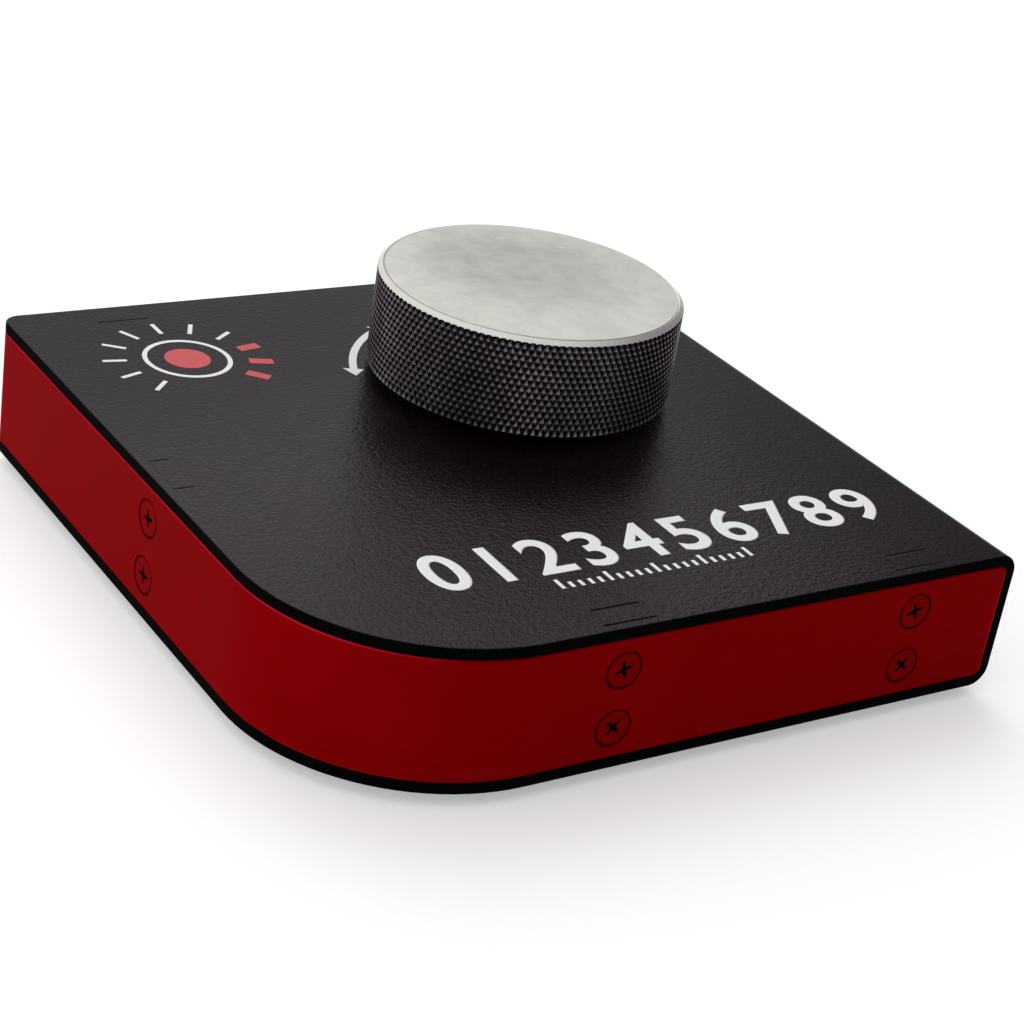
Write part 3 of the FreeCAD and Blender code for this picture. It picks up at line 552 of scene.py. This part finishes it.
def board_laminate(name):
    """Green solder mask over copper, with straight raised tracks in two directions."""
    finish = Finish(name)
    x, y = finish.axes()[:2]
    tracks_per_metre = 1.0 / (1.27 * MM)
    lane = finish.cells(6.0 * MM, "Color", distance="CHEBYCHEV").sum("GREATER_THAN", 0.5)
    across = abs((x * tracks_per_metre).sum("FRACT") - 0.5).step(0.22, 0.16)
    along = abs((y * tracks_per_metre).sum("FRACT") - 0.5).step(0.22, 0.16)
    tracks = across * lane + along * (1.0 - lane)
    weave = finish.noise(0.3 * MM, detail=2.0)
    mask = finish.mix(tracks * 0.8, rgb(0.012, 0.105, 0.040), rgb(0.030, 0.190, 0.070))
    return finish.wear(Base_Color=mask, Roughness=0.30 + weave * 0.1,
                       Normal=finish.bump(tracks + weave * 0.1, 0.03 * MM))


FINISHES = {
    "case_powder_coat": powder_coat("powder_coat"),
    "band_paint": band_paint("band_paint"),
    "screw_paint": screw_paint("screw_paint"),
    "knob_metal": bare_aluminium("bare_aluminium"),
    "black_steel": ground_steel("black_steel", grey(0.030), 0.38, 0.3 * MM, 0.6),
    "shaft_steel": ground_steel("shaft_steel", rgb(0.58, 0.58, 0.59), 0.24, 0.2 * MM),
    "zinc_steel": ground_steel("zinc_steel", rgb(0.62, 0.64, 0.68), 0.32, 0.4 * MM),
    "can_metal": blasted_metal("can_metal", rgb(0.55, 0.56, 0.58)),
    "brass": ground_steel("brass", rgb(0.72, 0.52, 0.22), 0.26, 0.25 * MM),
    "post_metal": powder_coat("post_coat"),
    "washer_plastic": moulded("washer_plastic", rgb(0.80, 0.79, 0.74), 0.42, 0.4 * MM, 0.01 * MM),
    "board_laminate": board_laminate("board_laminate"),
    "chip_plastic": moulded("chip_plastic", rgb(0.022, 0.022, 0.024), 0.52, 0.15 * MM, 0.012 * MM),
    "connector_plastic": moulded("connector_plastic", rgb(0.80, 0.77, 0.68), 0.40, 0.5 * MM, 0.01 * MM),
    "capacitor_body": moulded("capacitor_body", rgb(0.55, 0.30, 0.05), 0.45, 0.3 * MM, 0.01 * MM),
    "cable_jacket": moulded("cable_jacket", rgb(0.040, 0.040, 0.043), 0.55, 0.5 * MM, 0.02 * MM),
    "foot_rubber": moulded("foot_rubber", rgb(0.020, 0.020, 0.021), 0.70, 0.25 * MM, 0.03 * MM),
}
KNURL_FINISH = black_anodised("black_anodised")
WHITE_INK = ink("white_ink", rgb(0.93, 0.93, 0.94), rgb(0.66, 0.66, 0.68))
RED_INK = ink("red_ink", rgb(0.62, 0.036, 0.038), rgb(0.40, 0.026, 0.028))

for subpart in frame["record"]["subparts"]:
    node = frame["nodes"][subpart["node"]]
    for material_slot in node.material_slots:
        material_slot.material = FINISHES[subpart["material_slot"]]


# Meshes

def grid_quads(rows, columns):
    """Corner numbers of the quads between neighbouring rows of a grid whose last column meets its first."""
    row, column = np.meshgrid(np.arange(rows - 1), np.arange(columns), indexing="ij")
    after = (column + 1) % columns
    start = row * columns
    return np.stack([start + column, start + after, start + columns + after, start + columns + column], -1)


def make_piece(name, points, faces, finishes, face_finish=None, smooth=None):
    """A mesh object from points and faces, with one finish per face."""
    mesh = bpy.data.meshes.new(name)
    mesh.from_pydata(points.tolist(), [], faces)
    for finish in finishes:
        mesh.materials.append(finish)
    if face_finish is not None:
        mesh.polygons.foreach_set("material_index", face_finish)
    if smooth is not None:
        mesh.polygons.foreach_set("use_smooth", smooth)
        mesh.set_sharp_from_angle(angle=SHARP_FROM)
    mesh.update()
    piece = bpy.data.objects.new(name, mesh)
    bpy.context.scene.collection.objects.link(piece)
    return piece


def knurl_height(turn, level):
    """Height of the knurl over its groove floor, 0 to 1, at steps of turn and level.

    Two families of straight grooves cross: one where the half sum of the steps is a whole number
    and a half, one where their half difference is. A point's height is its distance from the
    nearest groove, in half spacings, with the tops cut flat.
    """
    lean_right = (turn + level) / 2
    lean_left = (turn - level) / 2
    from_right = 1 - 2 * np.abs(lean_right - np.round(lean_right))
    from_left = 1 - 2 * np.abs(lean_left - np.round(lean_left))
    return np.minimum(np.minimum(from_right, from_left) / (1 - KNURL_FLAT_SHARE), 1.0)


def build_knob():
    """The whole knob as one closed surface of rings, from the middle of its top out, down the
    knurl, up the hollow and the hub to the end of the bore. Each ring has a radius and a height
    at every angle; on the knurl the radius falls by the depth of the grooves there."""
    columns = KNURL_ROUND * 2 * KNURL_STEPS
    angle = np.arange(columns) * (2 * math.pi / columns)
    flat_radius = KNOB_RADIUS - CHAMFER_WIDTH
    groove_inner = flat_radius - EDGE_GROOVE_WIDTH
    hollow = KNOB_RADIUS - KNOB_WALL
    hub_bottom = KNOB_BOTTOM + HUB_ABOVE_KNOB_BOTTOM
    recess_top = KNOB_TOP - KNOB_TOP_THICKNESS
    bore_end = recess_top + HUB_BORE_INTO_TOP

    upper = [(radius, KNOB_TOP) for radius in TOP_RINGS + (groove_inner,)] + [
        (groove_inner + EDGE_GROOVE_LEAN, KNOB_TOP - EDGE_GROOVE_DEPTH),
        (flat_radius + EDGE_BREAK_WIDTH, KNOB_TOP - EDGE_BREAK_DROP),
        (KNOB_RADIUS - KNURL_BITE, KNURL_TOP + KNURL_BITE * CHAMFER_HEIGHT / CHAMFER_WIDTH),
    ]
    lower = [
        (KNOB_RADIUS - LOWER_CHAMFER, KNOB_BOTTOM),
        (hollow + INNER_BREAK, KNOB_BOTTOM),
        (hollow, KNOB_BOTTOM + INNER_BREAK),
        (hollow, recess_top - HOLLOW_FILLET),
        (hollow - HOLLOW_FILLET, recess_top),
        (HUB_RADIUS + HOLLOW_FILLET, recess_top),
        (HUB_RADIUS, recess_top - HOLLOW_FILLET),
        (HUB_RADIUS, hub_bottom + INNER_BREAK),
        (HUB_RADIUS - INNER_BREAK, hub_bottom),
        (HUB_BORE_RADIUS, hub_bottom),
        (HUB_BORE_RADIUS, bore_end),
    ]

    steps_up = np.arange(KNURL_HALF_ROWS * KNURL_STEPS, -1, -1)
    turn = np.arange(columns) / KNURL_STEPS
    level = steps_up / KNURL_STEPS
    depth = KNURL_DEPTH * (1 - knurl_height(turn[None, :], level[:, None]))
    knurl_radius = KNOB_RADIUS - depth
    share = steps_up / steps_up[0]
    knurl_z = np.repeat((KNURL_BOTTOM + (KNURL_TOP - KNURL_BOTTOM) * share)[:, None], columns, 1)
    knurl_z[0] += depth[0] * KNURL_TOP_NOTCH_SHARE
    knurl_z[-1] -= depth[-1]

    round_upper = np.repeat(np.array(upper)[:, :, None], columns, 2)
    round_lower = np.repeat(np.array(lower)[:, :, None], columns, 2)
    radii = np.concatenate([round_upper[:, 0], knurl_radius, round_lower[:, 0]])
    heights = np.concatenate([round_upper[:, 1], knurl_z, round_lower[:, 1]])
    rings = np.stack([KNOB_X + radii * np.cos(angle), KNOB_Y + radii * np.sin(angle), heights], -1)
    points = np.concatenate([rings.reshape(-1, 3), [[KNOB_X, KNOB_Y, KNOB_TOP], [KNOB_X, KNOB_Y, bore_end]]])

    quads = grid_quads(len(rings), columns)[:, :, ::-1]
    first = len(upper)
    last = first + len(steps_up) - 1
    band = quads[first:last]
    row = np.arange(last - first)[:, None] // KNURL_STEPS
    column = np.arange(columns)[None, :] // KNURL_STEPS
    falling = ((row + column + KNURL_HALF_ROWS) % 2 == 0)[:, :, None]
    one = np.where(falling, band[:, :, [0, 1, 2]], band[:, :, [1, 2, 3]])
    two = np.where(falling, band[:, :, [0, 2, 3]], band[:, :, [1, 3, 0]])
    triangles = np.concatenate([one.reshape(-1, 3), two.reshape(-1, 3)])
    above = quads[:first].reshape(-1, 4)
    below = quads[last:].reshape(-1, 4)

    here = np.arange(columns)
    after = (here + 1) % columns
    top_middle = len(points) - 2
    bore_middle = len(points) - 1
    last_ring = (len(rings) - 1) * columns
    top_fan = np.stack([np.full(columns, top_middle), here, after], -1)
    bore_fan = np.stack([np.full(columns, bore_middle), last_ring + after, last_ring + here], -1)

    faces = above.tolist() + triangles.tolist() + below.tolist() + top_fan.tolist() + bore_fan.tolist()
    bare = [0] * len(above) + [1] * (len(triangles) + len(below)) + [0] * columns + [1] * columns
    smooth = [True] * len(above) + [False] * len(triangles) + [True] * (len(below) + 2 * columns)
    piece = make_piece("knob_turned", points, faces, [FINISHES["knob_metal"], KNURL_FINISH], bare, smooth)
    drill(piece, hub_bottom + GRUB_ABOVE_HUB, hollow)
    return piece


def drill(piece, level, hollow):
    """Cuts the grub screw's bore in the hub and its access hole in the wall, at a level."""
    cutter_mesh = bpy.data.meshes.new("drill")
    shape = bmesh.new()
    holes = [
        (GRUB_BORE_RADIUS, 0.0, HUB_RADIUS + DRILL_OVERRUN),
        (GRUB_ACCESS_RADIUS, hollow - DRILL_OVERRUN, KNOB_RADIUS + DRILL_OVERRUN),
    ]
    for radius, start, end in holes:
        turn = Matrix.Rotation(GRUB_DIRECTION, 4, "Z") @ Matrix.Rotation(math.radians(90), 4, "Y")
        along = Matrix.Translation((0, 0, (start + end) / 2))
        place = Matrix.Translation((KNOB_X, KNOB_Y, level)) @ turn @ along
        bmesh.ops.create_cone(shape, cap_ends=True, segments=DRILL_SIDES, radius1=radius, radius2=radius,
                              depth=end - start, matrix=place)
    for face in shape.faces:
        face.material_index = 1
    shape.to_mesh(cutter_mesh)
    shape.free()
    cutter = bpy.data.objects.new("drill", cutter_mesh)
    bpy.context.scene.collection.objects.link(cutter)
    cut = piece.modifiers.new("drill", "BOOLEAN")
    cut.operation = "DIFFERENCE"
    cut.solver = "EXACT"
    cut.object = cutter
    shown = bpy.context.evaluated_depsgraph_get()
    drilled = bpy.data.meshes.new_from_object(piece.evaluated_get(shown))
    piece.modifiers.clear()
    piece.data = drilled
    bpy.data.objects.remove(cutter)


def slab(outline_rows):
    """A thin closed ribbon: each row of the outline has a left and a right point on the plate,
    carried from just under the plate's face to just over it."""
    rows = np.array(outline_rows, float)
    left = rows[:, 0]
    right = rows[:, 1]
    low = np.full((len(rows), 1), PLATE_TOP - PRINT_UNDER)
    high = np.full((len(rows), 1), PLATE_TOP + PRINT_OVER)
    section = [np.hstack(pair) for pair in ((left, low), (right, low), (right, high), (left, high))]
    points = np.stack(section, 1).reshape(-1, 3)
    end = 4 * (len(rows) - 1)
    caps = [[3, 2, 1, 0], [end, end + 1, end + 2, end + 3]]
    return points, np.concatenate([grid_quads(len(rows), 4).reshape(-1, 4), caps])


def around(centre, radius, degrees):
    """The point at a radius and an angle, or several angles, about a centre on the plate."""
    turn = np.radians(degrees)
    return np.stack([centre[0] + radius * np.cos(turn), centre[1] + radius * np.sin(turn)], -1)


def sweep_rows(centre, inner, outer, start, end, steps):
    """Rows of an arc band between two radii and two angles in degrees."""
    turns = np.linspace(start, end, steps)
    return np.stack([around(centre, inner, turns), around(centre, outer, turns)], 1)


def print_marks(name, ribbons, finish):
    """One piece of several printed ribbons, each given by its rows."""
    points = []
    faces = []
    count = 0
    for rows in ribbons:
        more_points, more_faces = slab(rows)
        points.append(more_points)
        faces.append(more_faces + count)
        count += len(more_points)
    piece = make_piece(name, np.concatenate(points), np.concatenate(faces).tolist(), [finish])
    shape = bmesh.new()
    shape.from_mesh(piece.data)
    bmesh.ops.remove_doubles(shape, verts=shape.verts, dist=WELD)
    bmesh.ops.recalc_face_normals(shape, faces=shape.faces)
    shape.to_mesh(piece.data)
    shape.free()
    return piece


# Curved arrow beside the knob
ARROW_INNER = 27.1 * MM
ARROW_OUTER = 28.4 * MM
ARROW_HEAD_INNER = 26.05 * MM
ARROW_HEAD_OUTER = 29.6 * MM
ARROW_TIP = 27.8 * MM
ARROW_FROM_DEGREES = 120.5
ARROW_TO_DEGREES = 158.3
ARROW_HEAD_DEGREES = 5.6
ARROW_STEPS = 40


def build_arrow():
    """The double-headed arrow: an arc band about the knob's axis with a triangle at each end."""
    centre = (KNOB_X, KNOB_Y)
    heads = []
    for degrees, reach in ((ARROW_FROM_DEGREES, -ARROW_HEAD_DEGREES), (ARROW_TO_DEGREES, ARROW_HEAD_DEGREES)):
        tip = around(centre, ARROW_TIP, degrees + reach)
        base = [around(centre, radius, degrees) for radius in (ARROW_HEAD_INNER, ARROW_HEAD_OUTER)]
        heads.append([[tip, tip], base])
    arc = sweep_rows(centre, ARROW_INNER, ARROW_OUTER, ARROW_FROM_DEGREES, ARROW_TO_DEGREES, ARROW_STEPS)
    return print_marks("print_arrow", [np.concatenate([heads[0], arc, heads[1][::-1]])], WHITE_INK)


# Row of plain numbers along the front, over a short ruler
NUMBER_HEIGHT = 10.2 * MM
FIGURE_HEIGHT_SHARE = 0.73
NUMBERS_FROM_X = -32.2 * MM
NUMBERS_TO_X = 44.6 * MM
NUMBERS_BASE_Y = -43.2 * MM
NUMBER_BOLDNESS = 0.019
HIGHEST_NUMBER = 9
RULER_FROM_X = -17.6 * MM
RULER_TO_X = 16.4 * MM
RULER_BASE_Y = -47.6 * MM
RULER_TICKS = 21
RULER_LONG_EVERY = 5
RULER_SHORT = 1.5 * MM
RULER_LONG = 2.6 * MM
RULER_TICK_WIDTH = 0.62 * MM


def build_numbers():
    """Plain bold numbers in one row, each a closed figure, widened all round and pressed flat."""
    shapes = bmesh.new()
    for number in range(HIGHEST_NUMBER + 1):
        text = bpy.data.curves.new("number", "FONT")
        text.body = str(number)
        text.size = NUMBER_HEIGHT / FIGURE_HEIGHT_SHARE
        text.align_x = "CENTER"
        text.bevel_depth = NUMBER_BOLDNESS * text.size
        text.bevel_resolution = 0
        text.extrude = text.bevel_depth / 4
        text.resolution_u = 8
        holder = bpy.data.objects.new("number", text)
        bpy.context.scene.collection.objects.link(holder)
        figures = bpy.data.meshes.new_from_object(holder.evaluated_get(bpy.context.evaluated_depsgraph_get()))
        x = NUMBERS_FROM_X + (NUMBERS_TO_X - NUMBERS_FROM_X) * number / HIGHEST_NUMBER
        thickness = 2 * (text.bevel_depth + text.extrude)
        figures.transform(Matrix.Diagonal((1.0, 1.0, (PRINT_OVER + PRINT_UNDER) / thickness, 1.0)))
        figures.transform(Matrix.Translation((x, NUMBERS_BASE_Y, PLATE_TOP + (PRINT_OVER - PRINT_UNDER) / 2)))
        shapes.from_mesh(figures)
        bpy.data.objects.remove(holder)
    bmesh.ops.remove_doubles(shapes, verts=shapes.verts, dist=WELD)
    mesh = bpy.data.meshes.new("print_numbers")
    shapes.to_mesh(mesh)
    shapes.free()
    mesh.materials.clear()
    mesh.materials.append(WHITE_INK)
    piece = bpy.data.objects.new("print_numbers", mesh)
    bpy.context.scene.collection.objects.link(piece)
    return piece


def build_ruler():
    """A short row of upright ticks, every few of them longer."""
    ticks = []
    for number, x in enumerate(np.linspace(RULER_FROM_X, RULER_TO_X, RULER_TICKS)):
        height = RULER_SHORT if number % RULER_LONG_EVERY else RULER_LONG
        west = x - RULER_TICK_WIDTH / 2
        east = x + RULER_TICK_WIDTH / 2
        ticks.append([((west, RULER_BASE_Y), (east, RULER_BASE_Y)),
                      ((west, RULER_BASE_Y + height), (east, RULER_BASE_Y + height))])
    return print_marks("print_ruler", ticks, WHITE_INK)


# Small dial sign at the back left
DIAL_CENTRE = (-36.6 * MM, 37.4 * MM)
DIAL_RING_INNER = 6.6 * MM
DIAL_RING_OUTER = 7.4 * MM
DIAL_DOT_RADIUS = 3.8 * MM
DIAL_TICK_INNER = 10.2 * MM
DIAL_TICK_OUTER = 14.2 * MM
DIAL_TICK_WIDTH = 0.75 * MM
DIAL_RED_TICK_WIDTH = 1.9 * MM
DIAL_TICKS = 11
DIAL_RED_TICKS = 3
DIAL_RING_STEPS = 73
DIAL_DOT_STEPS = 49
DIAL_FROM_DEGREES = 225.0
DIAL_TO_DEGREES = -45.0


def tick_rows(degrees, width):
    """Rows of a straight tick that points at the dial sign's centre."""
    ends = np.stack([around(DIAL_CENTRE, radius, degrees) for radius in (DIAL_TICK_INNER, DIAL_TICK_OUTER)])
    side = around((0.0, 0.0), width / 2, degrees + 90.0)
    return np.stack([ends - side, ends + side], 1)


def build_dial_sign():
    """A ring with ticks round it in white, and a dot and the last ticks in red."""
    white = [sweep_rows(DIAL_CENTRE, DIAL_RING_INNER, DIAL_RING_OUTER, 0, 360, DIAL_RING_STEPS)]
    red = [sweep_rows(DIAL_CENTRE, 0.0, DIAL_DOT_RADIUS, 0, 360, DIAL_DOT_STEPS)]
    turns = np.linspace(DIAL_FROM_DEGREES, DIAL_TO_DEGREES, DIAL_TICKS)
    for number, degrees in enumerate(turns):
        if number < DIAL_TICKS - DIAL_RED_TICKS:
            white.append(tick_rows(degrees, DIAL_TICK_WIDTH))
        else:
            red.append(tick_rows(degrees, DIAL_RED_TICK_WIDTH))
    return [print_marks("print_dial", white, WHITE_INK), print_marks("print_dial_red", red, RED_INK)]


knob = build_knob()
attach(knob, "dial")
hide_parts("knob")
for mark in [build_arrow(), build_numbers(), build_ruler()] + build_dial_sign():
    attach(mark, "base")


# Stage
FLOOR_REACH = 4.0
FLOOR_BELOW = 0.1 * MM
FLOOR_GLOW = 0.36
SURROUND_LIGHT = 0.80
BRIGHT_SIDE = (-0.83, 0.56, 0.0)
SHADE_SIDE = rgb(0.26, 0.232, 0.27)
LIGHTS_AIM = (0.0, 0.0, 0.02)
BACK_SOFTBOX_PLACE = (0.30, 0.80, 1.20)
BACK_SOFTBOX_SIZE = 1.0
BACK_SOFTBOX_WATTS = 5.0
LEFT_SOFTBOX_PLACE = (-1.15, 0.02, 0.34)
LEFT_SOFTBOX_SIZE = 0.6
LEFT_SOFTBOX_WATTS = 1.3


def build_floor():
    """A plain pale floor that keeps the object's shadow and is a little lighter where it is seen."""
    corners = FLOOR_REACH * np.array([[-1.0, -1.0, 0.0], [1.0, -1.0, 0.0], [1.0, 1.0, 0.0], [-1.0, 1.0, 0.0]])
    corners[:, 2] = -FLOOR_BELOW
    finish = Finish("floor")
    glow = finish.mix(finish.seen(), grey(0.0), grey(FLOOR_GLOW))
    finish.wear(Base_Color=grey(0.86), Roughness=0.85, Emission_Color=glow, Emission_Strength=1.0)
    floor = make_piece("floor", corners, [[0, 1, 2, 3]], [finish.material])


def soft_light(name, place, size, watts):
    """A square soft light at a place, aimed at the object."""
    light = bpy.data.lights.new(name, "AREA")
    light.shape = "SQUARE"
    light.size = size
    light.energy = watts
    holder = bpy.data.objects.new(name, light)
    holder.location = place
    holder.rotation_euler = (Vector(LIGHTS_AIM) - Vector(place)).to_track_quat("-Z", "Y").to_euler()
    bpy.context.scene.collection.objects.link(holder)


def build_world():
    """An even surround, softer as a light: white where it is seen, and in reflections white on the
    bright side of the room and overhead and grey on the other side, by the share of a direction
    that points there."""
    world = bpy.data.worlds.new("surround")
    bpy.context.scene.world = world
    world.use_nodes = True
    bench = Bench(world.node_tree)
    direction = bench.node("ShaderNodeTexCoord", output="Generated")
    bright = bench.vector("DOT_PRODUCT", direction, BRIGHT_SIDE, "Value")
    overhead = bench.split(direction)[2].step(0.65, 0.95)
    mirrored = bench.mix(bright.step(-0.34, 0.06).most(overhead), SHADE_SIDE, grey(1.0))
    camera = bench.node("ShaderNodeLightPath", output="Is Camera Ray")
    light = bench.mix(SURROUND_LIGHT, grey(0.0), mirrored)
    colour = bench.mix(bench.seen(), light, bench.mix(camera, mirrored, grey(1.0)))
    bench.feed(world.node_tree.nodes["Background"].inputs["Color"], colour)


def build_camera():
    """The photograph's camera."""
    camera = bpy.data.cameras.new("camera")
    camera.sensor_width = SENSOR_MM
    camera.lens = CAMERA_LENS_MM
    camera.clip_start = CAMERA_NEAR
    camera.clip_end = CAMERA_FAR
    holder = bpy.data.objects.new("camera", camera)
    holder.location = CAMERA_PLACE
    holder.rotation_euler = Euler([math.radians(turn) for turn in CAMERA_TURN_DEGREES])
    bpy.context.scene.collection.objects.link(holder)
    bpy.context.scene.camera = holder


build_floor()
build_world()
build_camera()
soft_light("back_softbox", BACK_SOFTBOX_PLACE, BACK_SOFTBOX_SIZE, BACK_SOFTBOX_WATTS)
soft_light("left_softbox", LEFT_SOFTBOX_PLACE, LEFT_SOFTBOX_SIZE, LEFT_SOFTBOX_WATTS)
bpy.context.scene.view_settings.view_transform = "Standard"
